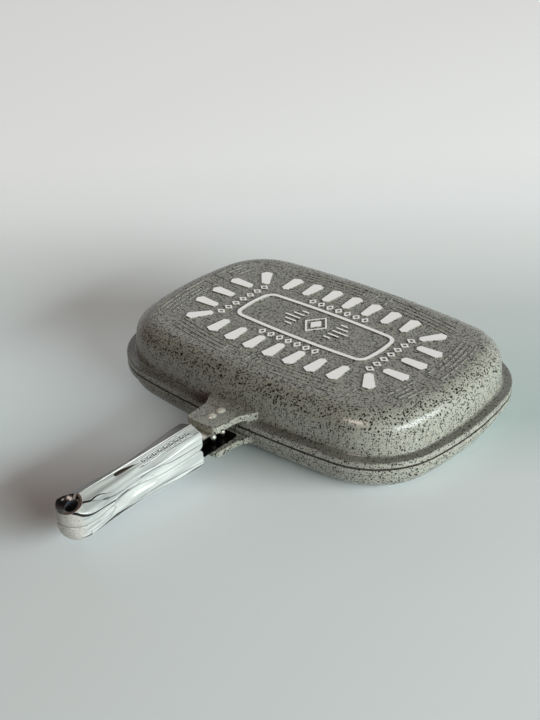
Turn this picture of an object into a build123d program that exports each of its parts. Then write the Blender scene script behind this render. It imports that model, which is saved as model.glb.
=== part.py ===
from build123d import *
import os

# Double sided flip pan. Millimetres. The pan lies closed on its lower half:
# X runs along the pan, the handle points to -Y, the hinge is at +Y and +Z is up.
# The origin is in the middle of the lower base, on the plane it rests on.
# Each half is drawn above the seam plane (z = 0 there) and then put in place.

# Plan outline of the rim: four bowed sides and round corners
PAN_LENGTH = 360.0
PAN_WIDTH = 244.6
LONG_SIDE_BOW = 967.0
SHORT_SIDE_BOW = 320.0
CORNER_RADIUS = 72.0

# Cast halves: depth is from the seam plane to the resting plane of the pads
UPPER_DEPTH = 43.8
LOWER_DEPTH = 31.0
UPPER_LEDGE = 9.2
LOWER_LEDGE = 3.8
UPPER_CROWN = 20.4
LOWER_CROWN = 24.0
UPPER_FOOT_FILLET = 2.0
LOWER_FOOT_FILLET = 2.4
SEAM_GAP = 1.2
RIM_THICKNESS = 6.0
RIM_EDGE_RADIUS = 1.2
WALL_DRAFT = 4.0
WALL = 3.0
FLOOR = 4.0

# Grill ribs on the floor of the lower half
GRILL_RIB_WIDTH = 4.0
GRILL_RIB_HEIGHT = 3.0
GRILL_RIB_PITCH = 14.0
GRILL_RIB_COUNT = 11
GRILL_RIB_MARGIN = 6.0

# Gasket in the rim of the lower half
GASKET_INSET = 1.5
GASKET_WIDTH = 3.2
GASKET_GROOVE_DEPTH = 2.4
GASKET_CLEARANCE = 0.05

# Raised pads of the base: tapered bars with pointed ends
PAD_HEIGHT = 1.0
PAD_LENGTH = 26.8
PAD_SHOULDER = 12.5
PAD_NECK = 8.0
PAD_OUTER_POINT = 3.2
PAD_INNER_POINT = 2.2
LONG_ROW_COUNT = 7
LONG_ROW_PITCH = 23.5
LONG_ROW_OFFSET = 57.15
LONG_ROW_BOW = 632.0
SIDE_ROW_COUNT = 3
SIDE_ROW_PITCH = 25.2
SIDE_ROW_OFFSET = 113.2
SIDE_ROW_BOW = 234.0
SIDE_PAD_SHOULDER = 11.3
CORNER_PAD_X = 99.9
CORNER_PAD_Y = 48.35
CORNER_PAD_ANGLE = 53.0

# Frame in the middle of the base
FRAME_LENGTH = 157.0
FRAME_WIDTH = 59.0
FRAME_LINE = 3.8
FRAME_LONG_BOW = 1125.0
FRAME_SHORT_BOW = 121.0
FRAME_CORNER = 12.0

# Plain lozenges: rows around the frame and an emblem inside it
LOZENGE_COUNT = 7
LOZENGE_PITCH = 10.4
LOZENGE_WIDTH = 8.0
LOZENGE_HEIGHT = 10.0
LOZENGE_LINE = 1.6
LONG_BAND_OFFSET = 37.0
SHORT_BAND_OFFSET = 88.0
EMBLEM_Y = 3.0
EMBLEM_WIDTH = 26.0
EMBLEM_HEIGHT = 32.0
EMBLEM_CORE_WIDTH = 12.0
EMBLEM_CORE_HEIGHT = 16.0
EMBLEM_BAR_LENGTHS = (18.0, 13.0, 8.0)
EMBLEM_BAR_PITCH = 6.5
EMBLEM_BAR_START = 19.0
EMBLEM_BAR_HEIGHT = 2.0

# Fine raised lines of the border, in nested U shapes that follow the bowed sides
LINE_WIDTH = 1.1
LINE_HEIGHT = 0.5
LINE_PITCH = 5.05
LINE_NEST_STEP = 12.6
LONG_LINE_OFFSET = 73.7
LONG_LINE_BOW = 500.0
LONG_LINE_GROUPS = ((25.0, 107.0, "start"), (-85.0, 10.5, "end"), (-116.0, -98.0, "end"))
SHORT_LINE_OFFSET = 131.5
SHORT_LINE_BOW = 250.0
SHORT_LINE_GROUPS = ((-60.0, 8.0, "end"), (22.0, 56.0, "start"))

# Handle brackets, cast with the halves
BRACKET_TOP = 15.0
BRACKET_THICKNESS = 5.6
BRACKET_FRONT = -156.0
BRACKET_FRONT_WIDTH = 34.6
BRACKET_WAIST_WIDTH = 38.0
BRACKET_WAIST_Y = -129.0
BRACKET_ROOT_WIDTH = 56.0
BRACKET_ROOT_Y = -112.0
BRACKET_INNER_Y = -100.0
BRACKET_ROOT_INSET = 0.6
BRACKET_CORNER = 5.0
BRACKET_FLARE_RADIUS = 14.0
BRACKET_EDGE_RADIUS = 0.8
BRACKET_ROOT_FILLET = 1.6

# Hinge at the rear: one pin through three knuckles, at the left and at the right
HINGE_X = 56.0
HINGE_AXIS_Y = 131.0
KNUCKLE_RADIUS = 6.5
OUTER_KNUCKLE_WIDTH = 9.0
MIDDLE_KNUCKLE_WIDTH = 14.0
KNUCKLE_GAP = 0.3
KNUCKLE_ARM_ROOT = 12.0
PIN_RADIUS = 2.5
PIN_CLEARANCE = 0.05
PIN_HEAD_RADIUS = 4.2
PIN_HEAD_LENGTH = 2.0
PIN_TAIL = 2.4
CLIP_RADIUS = 4.6
CLIP_THICKNESS = 1.0
CLIP_GAP = 0.3

# Steel tangs and the rivets that hold them to the brackets
TANG_THICKNESS = 1.5
TANG_WIDTH = 26.6
TANG_REAR = -124.2
TONGUE_WIDTH = 12.0
TONGUE_END = -276.0
TANG_CORNER = 1.5
RIVET_FRONT_Y = -141.0
RIVET_REAR_Y = -129.5
RIVET_RADIUS = 2.4
RIVET_HOLE_CLEARANCE = 0.05
RIVET_HEAD_RADIUS = 4.4
RIVET_HEAD_HEIGHT = 1.9
RIVET_TAIL_RADIUS = 2.8
RIVET_TAIL_LENGTH = 0.8

# Grips: a roof with a waist on upright sides that follow the plan outline
GRIP_NEAR = -166.6
GRIP_NEAR_BOW = 1.2
GRIP_HALF_WIDTH = 13.8
GRIP_TAIL_CENTRE = -299.2
GRIP_TAIL_RADIUS = 16.6
UPPER_TAIL_ROUND = 9.0
LOWER_TAIL_ROUND = 14.6
GRIP_GAP = 0.5
RIDGE_HEIGHT = 19.3
SHOULDER_RADIUS = 3.5
NEAR_END_RADIUS = 5.0
EDGE_RADIUS = 1.0

# Points of the waisted side of the plan outline, between near end and tail
SIDE_START_Y = -196.0
SIDE_POINTS = ((12.5, -225.0), (11.4, -246.0), (12.4, -265.0), (15.0, -283.0))

# Sections of the roof: Y, then the outer edge of the facet and the edge of the shoulder
# below it, each as half width and height, and how much deeper the lower grip is there
ROOF_SECTIONS = (
    (-160.0, (11.0, 15.8), (18.5, 7.3), 2.2),
    (-205.0, (9.6, 15.6), (17.5, 6.2), 2.2),
    (-250.0, (7.2, 15.3), (16.5, 4.5), 2.2),
    (-285.0, (9.6, 15.8), (18.0, 7.0), 0.9),
    (-320.0, (11.2, 15.8), (20.0, 8.5), -0.8),
)

# Finger hollows: barrels along the parting plane
SCOOP_Y = -246.0
SCOOP_FLOOR = 7.6
SCOOP_ROUND = 12.0
SCOOP_BULGE = 60.0

# Dish and hanging hole in the tail
DISH_RADIUS = 16.0
DISH_Y = -309.5
DISH_HEIGHT = 26.0
HANG_HOLE_Y = -304.0
HANG_HOLE_RADIUS = 5.5

# What holds the grips on the tangs, and the magnetic catch in their parting faces
SLOT_CLEARANCE = 0.15
SCREW_NEAR_Y = -196.0
SCREW_FAR_Y = -269.0
SCREW_RADIUS = 2.0
SCREW_HEAD_RADIUS = 3.8
SCREW_HEAD_HEIGHT = 2.2
SCREW_SINK = 0.2
SCREW_TIP = 11.5
SCREW_CLEARANCE = 0.15
SCREW_RECESS_WIDTH = 0.9
SCREW_RECESS_DEPTH = 1.4
CATCH_Y = -284.0
CATCH_RADIUS = 6.0
CATCH_CLEARANCE = 0.1
MAGNET_THICKNESS = 4.0
KEEPER_THICKNESS = 2.0

# Sizes that follow from the ones above
SEAM_HEIGHT = LOWER_DEPTH
RIM_FACE = SEAM_GAP / 2
RIM_TOP = RIM_FACE + RIM_THICKNESS
BRACKET_UNDERSIDE = BRACKET_TOP - BRACKET_THICKNESS
TANG_UNDERSIDE = BRACKET_UNDERSIDE - TANG_THICKNESS
PARTING_FACE = GRIP_GAP / 2
TANG_SHOULDER = GRIP_NEAR + 2 * SLOT_CLEARANCE
HINGE_HALF_LENGTH = MIDDLE_KNUCKLE_WIDTH / 2 + KNUCKLE_GAP + OUTER_KNUCKLE_WIDTH


def arc_radius(half_chord, rise):
    """The radius of the arc that rises by a given height over half of its chord."""
    return (half_chord ** 2 + rise ** 2) / (2 * rise)


def bowed_rectangle(length, width, long_bow, short_bow, corner):
    """A rectangle with four bowed sides and round corners."""
    with BuildSketch() as outline:
        with Locations((0, width / 2 - long_bow)):
            Circle(long_bow)
        with Locations((0, long_bow - width / 2)):
            Circle(long_bow, mode=Mode.INTERSECT)
        with Locations((length / 2 - short_bow, 0)):
            Circle(short_bow, mode=Mode.INTERSECT)
        with Locations((short_bow - length / 2, 0)):
            Circle(short_bow, mode=Mode.INTERSECT)
        fillet(outline.vertices(), corner)
    return outline.sketch


def pan_outline(inset):
    """The plan outline of the pan, drawn inwards from the edge of the rim."""
    return bowed_rectangle(PAN_LENGTH - 2 * inset, PAN_WIDTH - 2 * inset,
                           LONG_SIDE_BOW - inset, SHORT_SIDE_BOW - inset, CORNER_RADIUS - inset)


def in_half(piece, half):
    """Put a piece that is drawn above the seam plane into the upper or the lower half."""
    if half == "lower":
        piece = mirror(piece, about=Plane.XY)
    return piece.moved(Location((0, 0, SEAM_HEIGHT)))


def bracket():
    """The handle bracket: a plate with a flared root that stands on the rim."""
    with BuildPart() as plate:
        with BuildSketch(Plane.XY.offset(RIM_FACE)):
            with BuildLine():
                Polyline((0, BRACKET_FRONT), (BRACKET_FRONT_WIDTH / 2, BRACKET_FRONT),
                         (BRACKET_WAIST_WIDTH / 2, BRACKET_WAIST_Y),
                         (BRACKET_ROOT_WIDTH / 2, BRACKET_ROOT_Y),
                         (BRACKET_ROOT_WIDTH / 2, BRACKET_INNER_Y), (0, BRACKET_INNER_Y))
                mirror(about=Plane.YZ)
            make_face()
        extrude(amount=BRACKET_TOP - RIM_FACE)
        corners = plate.edges().filter_by(Axis.Z).group_by(Axis.Y)
        fillet(corners[1], BRACKET_FLARE_RADIUS)
        corners = plate.edges().filter_by(Axis.Z).group_by(Axis.Y)
        fillet(corners[0], BRACKET_CORNER)
        rim_front = BRACKET_ROOT_INSET - PAN_WIDTH / 2
        with BuildSketch(Plane.YZ) as below_plate:
            with BuildLine():
                Polyline((BRACKET_FRONT - BRACKET_CORNER, 0), (rim_front, 0),
                         (rim_front, BRACKET_UNDERSIDE),
                         (BRACKET_FRONT - BRACKET_CORNER, BRACKET_UNDERSIDE), close=True)
            make_face()
            root_corner = below_plate.vertices().group_by(Axis.Y)[-1].sort_by(Axis.X)[-1]
            fillet(root_corner, BRACKET_ROOT_FILLET)
        extrude(amount=BRACKET_ROOT_WIDTH, both=True, mode=Mode.SUBTRACT)
        rim_of_plate = plate.edges().group_by(Axis.Z)[-1].filter_by_position(
            Axis.Y, BRACKET_FRONT, BRACKET_ROOT_Y, inclusive=(True, False))
        fillet(rim_of_plate, BRACKET_EDGE_RADIUS)
        with Locations((0, RIVET_FRONT_Y), (0, RIVET_REAR_Y)):
            Cylinder(RIVET_RADIUS + RIVET_HOLE_CLEARANCE, 2 * BRACKET_TOP, mode=Mode.SUBTRACT)
    return plate.part


def knuckles(centres, width):
    """Hinge knuckles on the rear of the rim, each a barrel on an arm."""
    with BuildPart() as barrels:
        for centre in centres:
            with Locations((centre, HINGE_AXIS_Y, 0)):
                Cylinder(KNUCKLE_RADIUS, width, rotation=(0, 90, 0))
            with Locations((centre, HINGE_AXIS_Y, RIM_FACE)):
                Box(width, KNUCKLE_ARM_ROOT, KNUCKLE_RADIUS - RIM_FACE,
                    align=(Align.CENTER, Align.MAX, Align.MIN))
        for centre in centres:
            with Locations((centre, HINGE_AXIS_Y, 0)):
                Cylinder(PIN_RADIUS + PIN_CLEARANCE, 2 * width, rotation=(0, 90, 0),
                         mode=Mode.SUBTRACT)
    return barrels.part


def pad(shoulder):
    """A tapered bar with pointed ends. Its outer end points to +Y."""
    outer = PAD_LENGTH / 2
    with BuildSketch() as bar:
        with BuildLine():
            Polyline((0, outer), (shoulder / 2, outer - PAD_OUTER_POINT),
                     (PAD_NECK / 2, PAD_INNER_POINT - outer), (0, -outer))
            mirror(about=Plane.YZ)
        make_face()
    return bar.sketch


def pads():
    """The ring of pads: two long rows, two side rows and one pad in each corner."""
    with BuildSketch() as ring:
        for side in (0, 180):
            with Locations(Location((0, 0, 0), (0, 0, side))):
                for step in range(LONG_ROW_COUNT):
                    x = (step - (LONG_ROW_COUNT - 1) / 2) * LONG_ROW_PITCH
                    with Locations((x, LONG_ROW_OFFSET - x * x / (2 * LONG_ROW_BOW))):
                        add(pad(PAD_SHOULDER))
                for step in range(SIDE_ROW_COUNT):
                    y = (step - (SIDE_ROW_COUNT - 1) / 2) * SIDE_ROW_PITCH
                    with Locations((SIDE_ROW_OFFSET - y * y / (2 * SIDE_ROW_BOW), y)):
                        add(pad(SIDE_PAD_SHOULDER), rotation=-90)
                for across in (-1, 1):
                    with Locations((across * CORNER_PAD_X, CORNER_PAD_Y)):
                        add(pad(SIDE_PAD_SHOULDER), rotation=across * (CORNER_PAD_ANGLE - 90))
    return ring.sketch


def lozenge(width, height, line=0):
    """A lozenge, solid or drawn with a line of even width."""
    with BuildSketch() as shape:
        Polygon((-width / 2, 0), (0, -height / 2), (width / 2, 0), (0, height / 2))
        if line:
            offset(amount=-line, kind=Kind.INTERSECTION, mode=Mode.SUBTRACT)
    return shape.sketch


def motifs():
    """The frame, the rows of lozenges around it and the emblem inside it."""
    with BuildSketch() as relief:
        add(bowed_rectangle(FRAME_LENGTH, FRAME_WIDTH, FRAME_LONG_BOW, FRAME_SHORT_BOW,
                            FRAME_CORNER))
        add(bowed_rectangle(FRAME_LENGTH - 2 * FRAME_LINE, FRAME_WIDTH - 2 * FRAME_LINE,
                            FRAME_LONG_BOW - FRAME_LINE, FRAME_SHORT_BOW - FRAME_LINE,
                            FRAME_CORNER - FRAME_LINE), mode=Mode.SUBTRACT)
        for side in (-1, 1):
            with Locations((0, side * LONG_BAND_OFFSET)):
                with GridLocations(LOZENGE_PITCH, 0, LOZENGE_COUNT, 1):
                    add(lozenge(LOZENGE_WIDTH, LOZENGE_HEIGHT, LOZENGE_LINE))
            with Locations((side * SHORT_BAND_OFFSET, 0)):
                with GridLocations(0, LOZENGE_PITCH, 1, LOZENGE_COUNT):
                    add(lozenge(LOZENGE_HEIGHT, LOZENGE_WIDTH, LOZENGE_LINE))
        with Locations((0, EMBLEM_Y)):
            add(lozenge(EMBLEM_WIDTH, EMBLEM_HEIGHT, LOZENGE_LINE))
            add(lozenge(EMBLEM_CORE_WIDTH, EMBLEM_CORE_HEIGHT))
        for side in (-1, 1):
            for step, length in enumerate(EMBLEM_BAR_LENGTHS):
                for row in {step, -step}:
                    with Locations((side * (EMBLEM_BAR_START + length / 2),
                                    EMBLEM_Y + row * EMBLEM_BAR_PITCH)):
                        SlotOverall(length, EMBLEM_BAR_HEIGHT)
    return relief.sketch


def bowed_line(start, end, middle, bow):
    """A fine line from x = start to x = end that bows about x = 0, where it is at y = middle."""
    with BuildSketch() as line:
        with Locations((0, middle - bow)):
            Circle(bow + LINE_WIDTH / 2)
            Circle(bow - LINE_WIDTH / 2, mode=Mode.SUBTRACT)
        with Locations((start, 0)):
            Rectangle(end - start, bow, align=Align.MIN, mode=Mode.INTERSECT)
    return line.sketch


def line_group(start, end, closed, middle, bow):
    """Two nested U shapes of fine lines, closed by a bar at their start or at their end."""
    with BuildSketch() as group:
        for nest in range(2):
            inner = middle + nest * LINE_PITCH
            outer = middle + (3 - nest) * LINE_PITCH
            step = nest * LINE_NEST_STEP
            if closed == "start":
                span = (start + step, end)
                bar_x = span[0] + LINE_WIDTH / 2
            else:
                span = (start, end - step)
                bar_x = span[1] - LINE_WIDTH / 2
            for row in (inner, outer):
                add(bowed_line(span[0], span[1], row, bow))
            with Locations((bar_x, (inner + outer) / 2 - bar_x ** 2 / (2 * bow))):
                Rectangle(LINE_WIDTH, outer - inner)
    return group.sketch


def border_lines():
    """The fine lines along all four sides of the base."""
    with BuildSketch() as border:
        for turn in (0, 180):
            for start, end, closed in LONG_LINE_GROUPS:
                add(line_group(start, end, closed, LONG_LINE_OFFSET, LONG_LINE_BOW), rotation=turn)
            for start, end, closed in SHORT_LINE_GROUPS:
                add(line_group(start, end, closed, SHORT_LINE_OFFSET, SHORT_LINE_BOW),
                    rotation=turn - 90)
    return border.sketch


def cavity(base, ledge, crown):
    """The hollow of a half, from its rim face to its floor."""
    with BuildPart() as hollow:
        with BuildSketch(Plane.XY.offset(RIM_FACE)):
            add(pan_outline(ledge + WALL))
        extrude(amount=base - FLOOR - RIM_FACE, taper=WALL_DRAFT)
        fillet(hollow.faces().sort_by(Axis.Z)[-1].edges(), crown - WALL)
    return hollow.part


def pan_half(depth, ledge, crown, foot_fillet):
    """A cast half with its bracket and the relief on its base, still without its hinge knuckles."""
    base = depth - PAD_HEIGHT
    with BuildPart() as half:
        with BuildSketch(Plane.XY.offset(RIM_FACE)):
            add(pan_outline(0))
        extrude(amount=RIM_THICKNESS)
        fillet(half.faces().sort_by(Axis.Z)[-1].edges(), RIM_EDGE_RADIUS)
        with BuildSketch(Plane.XY.offset(RIM_TOP)):
            add(pan_outline(ledge))
        extrude(amount=base - RIM_TOP, taper=WALL_DRAFT)
        fillet(half.faces().sort_by(Axis.Z)[-1].edges(), crown)
        ledge_face = half.faces().filter_by_position(Axis.Z, RIM_TOP, RIM_TOP)[0]
        fillet(ledge_face.inner_wires()[0].edges(), foot_fillet)
        add(bracket())
        add(cavity(base, ledge, crown), mode=Mode.SUBTRACT)
        with BuildSketch(Plane.XY.offset(base)):
            add(pads())
            add(motifs())
        extrude(amount=PAD_HEIGHT)
        with BuildSketch(Plane.XY.offset(base)):
            add(border_lines())
        extrude(amount=LINE_HEIGHT)
    return half.part


def tang():
    """A steel strap under the bracket plate, with a tongue that runs on into the grip."""
    with BuildPart() as strap:
        with BuildSketch(Plane.XY.offset(TANG_UNDERSIDE)):
            with BuildLine():
                Polyline((0, TANG_REAR), (TANG_WIDTH / 2, TANG_REAR), (TANG_WIDTH / 2, TANG_SHOULDER),
                         (TONGUE_WIDTH / 2, TANG_SHOULDER), (TONGUE_WIDTH / 2, TONGUE_END),
                         (0, TONGUE_END))
                mirror(about=Plane.YZ)
            make_face()
        extrude(amount=TANG_THICKNESS)
        ends = strap.edges().filter_by(Axis.Z).group_by(Axis.Y)
        fillet(ends[0] + ends[-1], TANG_CORNER)
        with Locations((0, RIVET_FRONT_Y), (0, RIVET_REAR_Y)):
            Cylinder(RIVET_RADIUS + RIVET_HOLE_CLEARANCE, 2 * BRACKET_TOP, mode=Mode.SUBTRACT)
        with Locations((0, SCREW_NEAR_Y), (0, SCREW_FAR_Y)):
            Cylinder(SCREW_RADIUS + RIVET_HOLE_CLEARANCE, 2 * BRACKET_TOP, mode=Mode.SUBTRACT)
    return strap.part


def rivet(y):
    """A rivet through bracket and tang: flat dome outside, round-ended tail inside."""
    tail_round = TANG_UNDERSIDE - RIVET_TAIL_LENGTH
    tail_edge = (RIVET_TAIL_RADIUS, tail_round)
    tail_end = (0, tail_round - RIVET_TAIL_RADIUS)
    head_edge = (RIVET_HEAD_RADIUS, BRACKET_TOP)
    head_end = (0, BRACKET_TOP + RIVET_HEAD_HEIGHT)
    with BuildPart() as pin:
        with BuildSketch(Plane.XZ.offset(-y)):
            with BuildLine():
                RadiusArc(tail_end, tail_edge, -RIVET_TAIL_RADIUS)
                Polyline(tail_edge, (RIVET_TAIL_RADIUS, TANG_UNDERSIDE),
                         (RIVET_RADIUS, TANG_UNDERSIDE), (RIVET_RADIUS, BRACKET_TOP), head_edge)
                RadiusArc(head_edge, head_end, -arc_radius(RIVET_HEAD_RADIUS, RIVET_HEAD_HEIGHT))
                Line(head_end, tail_end)
            make_face()
        revolve(axis=Axis((0, y, 0), (0, 0, 1)))
    return pin.part


def screw_body(y, clearance):
    """A countersunk screw from the parting face up through the tongue, or its hole."""
    head_face = PARTING_FACE + (0 if clearance else SCREW_SINK)
    shank = SCREW_RADIUS + clearance
    with BuildPart() as body:
        with BuildSketch(Plane.XZ.offset(-y)):
            Polygon((0, head_face), (SCREW_HEAD_RADIUS + clearance, head_face),
                    (SCREW_HEAD_RADIUS + clearance, PARTING_FACE + SCREW_SINK),
                    (shank, PARTING_FACE + SCREW_SINK + SCREW_HEAD_HEIGHT),
                    (shank, SCREW_TIP + clearance), (0, SCREW_TIP + clearance), align=None)
        revolve(axis=Axis((0, y, 0), (0, 0, 1)))
    return body.part


def screw(y):
    """A countersunk machine screw with a cross recess."""
    with BuildPart() as fastener:
        add(screw_body(y, 0))
        with BuildSketch(Plane.XY.offset(PARTING_FACE + SCREW_SINK)):
            with Locations((0, y)):
                Rectangle(SCREW_HEAD_RADIUS, SCREW_RECESS_WIDTH)
                Rectangle(SCREW_RECESS_WIDTH, SCREW_HEAD_RADIUS)
        extrude(amount=SCREW_RECESS_DEPTH, mode=Mode.SUBTRACT)
    return fastener.part


def scoop(side):
    """The finger hollow of one side: a barrel that lies along the parting plane."""
    reach = (SCOOP_BULGE ** 2 - (SCOOP_BULGE - SCOOP_ROUND) ** 2) ** 0.5
    axis_x = side * (SCOOP_FLOOR + SCOOP_ROUND)
    with BuildPart() as barrel:
        with BuildSketch():
            with BuildLine():
                ThreePointArc((axis_x, SCOOP_Y - reach), (side * SCOOP_FLOOR, SCOOP_Y),
                              (axis_x, SCOOP_Y + reach))
                Line((axis_x, SCOOP_Y + reach), (axis_x, SCOOP_Y - reach))
            make_face()
        revolve(axis=Axis((axis_x, SCOOP_Y, 0), (0, 1, 0)))
    return barrel.part


def roof(half):
    """The top of a grip: two facets that meet in a ridge, and a sloping shoulder on each side."""
    with BuildPart() as block:
        for y, facet_edge, shoulder_edge, deeper in ROOF_SECTIONS:
            extra = deeper if half == "lower" else 0
            shoulder_height = shoulder_edge[1] + extra
            with BuildSketch(Plane.XZ.offset(-y)):
                with BuildLine():
                    Polyline((0, RIDGE_HEIGHT + extra), (facet_edge[0], facet_edge[1] + extra),
                             (shoulder_edge[0], shoulder_height), (shoulder_edge[0], 0), (0, 0))
                    mirror(about=Plane.YZ)
                make_face()
        loft()
    return block.part


def tail_edge(radius):
    """What is taken off a grip to round the upper edge of its tail."""
    top = RIDGE_HEIGHT
    inner = GRIP_TAIL_RADIUS - radius
    outer = GRIP_TAIL_RADIUS + EDGE_RADIUS
    with BuildPart() as ring:
        with BuildSketch(Plane.XZ.offset(-GRIP_TAIL_CENTRE)):
            with BuildLine():
                RadiusArc((inner, top), (GRIP_TAIL_RADIUS, top - radius), radius)
                Polyline((GRIP_TAIL_RADIUS, top - radius), (outer, top - radius),
                         (outer, top + EDGE_RADIUS), (inner, top + EDGE_RADIUS), (inner, top))
            make_face()
        revolve(axis=Axis((0, GRIP_TAIL_CENTRE, 0), (0, 0, 1)), revolution_arc=-180)
    return ring.part


def grip_body(half):
    """The outside of a grip: plan outline, roof, rounded edges and tail, and finger hollows."""
    tail_round = LOWER_TAIL_ROUND if half == "lower" else UPPER_TAIL_ROUND
    near_corner = (GRIP_HALF_WIDTH, GRIP_NEAR - GRIP_NEAR_BOW)
    side_start = (GRIP_HALF_WIDTH, SIDE_START_Y)
    tail_corner = (GRIP_TAIL_RADIUS, GRIP_TAIL_CENTRE)
    tail_tip = (0, GRIP_TAIL_CENTRE - GRIP_TAIL_RADIUS)
    with BuildPart() as body:
        with BuildSketch(Plane.XY.offset(PARTING_FACE)):
            with BuildLine():
                RadiusArc((0, GRIP_NEAR), near_corner, arc_radius(GRIP_HALF_WIDTH, GRIP_NEAR_BOW))
                Line(near_corner, side_start)
                Spline(side_start, *SIDE_POINTS, tail_corner, tangents=[(0, -1), (0, -1)])
                RadiusArc(tail_corner, tail_tip, GRIP_TAIL_RADIUS)
                mirror(about=Plane.YZ)
            make_face()
        extrude(amount=2 * RIDGE_HEIGHT)
        add(roof(half), mode=Mode.INTERSECT)
        facet_edge_height = min(facet_edge[1] for _, facet_edge, _, _ in ROOF_SECTIONS)
        shoulders = body.edges().filter_by(Axis.Z, reverse=True).filter_by_position(
            Axis.Z, PARTING_FACE, facet_edge_height, inclusive=(False, False))
        fillet(shoulders.filter_by_position(Axis.Y, tail_tip[1], near_corner[1]),
               SHOULDER_RADIUS)
        fillet(body.faces().sort_by(Axis.Y)[-1].edges().sort_by(Axis.Z)[0], NEAR_END_RADIUS)
        fillet(body.faces().sort_by(Axis.Y)[-1].edges().sort_by(Axis.Z)[1:], EDGE_RADIUS)
        add(tail_edge(tail_round), mode=Mode.SUBTRACT)
        for side in (-1, 1):
            add(scoop(side), mode=Mode.SUBTRACT)
    return body.part


def grip(half, catch_depth):
    """One half of the handle, with the slot for the tongue and the pocket for the catch."""
    with BuildPart() as shape:
        add(grip_body(half))
        if half == "upper":
            with Locations((0, DISH_Y, DISH_HEIGHT)):
                Sphere(DISH_RADIUS, rotation=(90, 0, 0), mode=Mode.SUBTRACT)
        with Locations((0, HANG_HOLE_Y, 0)):
            Cylinder(HANG_HOLE_RADIUS, 4 * RIDGE_HEIGHT, mode=Mode.SUBTRACT)
        slot_length = GRIP_NEAR - TONGUE_END + SLOT_CLEARANCE
        with Locations((0, GRIP_NEAR, TANG_UNDERSIDE - SLOT_CLEARANCE)):
            Box(TONGUE_WIDTH + 2 * SLOT_CLEARANCE, slot_length,
                TANG_THICKNESS + 2 * SLOT_CLEARANCE,
                align=(Align.CENTER, Align.MAX, Align.MIN), mode=Mode.SUBTRACT)
        for y in (SCREW_NEAR_Y, SCREW_FAR_Y):
            add(screw_body(y, SCREW_CLEARANCE), mode=Mode.SUBTRACT)
        with Locations((0, CATCH_Y, PARTING_FACE)):
            Cylinder(CATCH_RADIUS + CATCH_CLEARANCE, catch_depth + 2 * CATCH_CLEARANCE,
                     align=(Align.CENTER, Align.CENTER, Align.MIN), mode=Mode.SUBTRACT)
    return shape.part


def catch(thickness):
    """The disc of the magnetic catch, just inside the parting face."""
    with BuildPart() as disc:
        with Locations((0, CATCH_Y, PARTING_FACE + CATCH_CLEARANCE)):
            Cylinder(CATCH_RADIUS, thickness, align=(Align.CENTER, Align.CENTER, Align.MIN))
    return disc.part


def hinge_pin(side):
    """A hinge pin. Its head is on the outer side of its knuckles."""
    with BuildPart() as pin:
        with Locations((side * HINGE_X, HINGE_AXIS_Y, SEAM_HEIGHT)):
            with Locations(Location((0, 0, 0), (0, side * 90, 0))):
                with Locations((0, 0, HINGE_HALF_LENGTH)):
                    Cylinder(PIN_HEAD_RADIUS, PIN_HEAD_LENGTH,
                             align=(Align.CENTER, Align.CENTER, Align.MIN))
                with Locations((0, 0, -HINGE_HALF_LENGTH - PIN_TAIL)):
                    Cylinder(PIN_RADIUS, 2 * HINGE_HALF_LENGTH + PIN_TAIL,
                             align=(Align.CENTER, Align.CENTER, Align.MIN))
    return pin.part


def hinge_clip(side):
    """A push-on clip at the inner end of a hinge pin."""
    with BuildPart() as clip:
        with Locations((side * HINGE_X, HINGE_AXIS_Y, SEAM_HEIGHT)):
            with Locations(Location((0, 0, 0), (0, side * 90, 0))):
                with Locations((0, 0, -HINGE_HALF_LENGTH - CLIP_GAP)):
                    Cylinder(CLIP_RADIUS, CLIP_THICKNESS,
                             align=(Align.CENTER, Align.CENTER, Align.MAX))
                    Cylinder(PIN_RADIUS, CLIP_THICKNESS,
                             align=(Align.CENTER, Align.CENTER, Align.MAX), mode=Mode.SUBTRACT)
    return clip.part


def knuckle_pitch():
    """From the middle of the middle knuckle to the middle of an outer one."""
    return (MIDDLE_KNUCKLE_WIDTH + OUTER_KNUCKLE_WIDTH) / 2 + KNUCKLE_GAP


with BuildPart() as upper_pan:
    add(pan_half(UPPER_DEPTH, UPPER_LEDGE, UPPER_CROWN, UPPER_FOOT_FILLET))
    add(knuckles([-HINGE_X, HINGE_X], MIDDLE_KNUCKLE_WIDTH))

with BuildPart() as lower_pan:
    add(pan_half(LOWER_DEPTH, LOWER_LEDGE, LOWER_CROWN, LOWER_FOOT_FILLET))
    add(knuckles([side * HINGE_X + step * knuckle_pitch() for side in (-1, 1) for step in (-1, 1)],
                 OUTER_KNUCKLE_WIDTH))
    with BuildSketch(Plane.XY.offset(RIM_FACE)):
        add(pan_outline(GASKET_INSET))
        add(pan_outline(GASKET_INSET + GASKET_WIDTH), mode=Mode.SUBTRACT)
    extrude(amount=GASKET_GROOVE_DEPTH, mode=Mode.SUBTRACT)
    floor = LOWER_DEPTH - PAD_HEIGHT - FLOOR
    with BuildSketch(Plane.XY.offset(floor)) as grill:
        with GridLocations(0, GRILL_RIB_PITCH, 1, GRILL_RIB_COUNT):
            Rectangle(PAN_LENGTH, GRILL_RIB_WIDTH)
        add(pan_outline(LOWER_LEDGE + LOWER_CROWN + GRILL_RIB_MARGIN), mode=Mode.INTERSECT)
    extrude(amount=-GRILL_RIB_HEIGHT)

with BuildPart() as rim_gasket:
    with BuildSketch(Plane.XY.offset(SEAM_HEIGHT - RIM_FACE - GASKET_GROOVE_DEPTH)):
        add(pan_outline(GASKET_INSET))
        add(pan_outline(GASKET_INSET + GASKET_WIDTH), mode=Mode.SUBTRACT)
    extrude(amount=GASKET_GROOVE_DEPTH + SEAM_GAP - GASKET_CLEARANCE)

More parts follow.
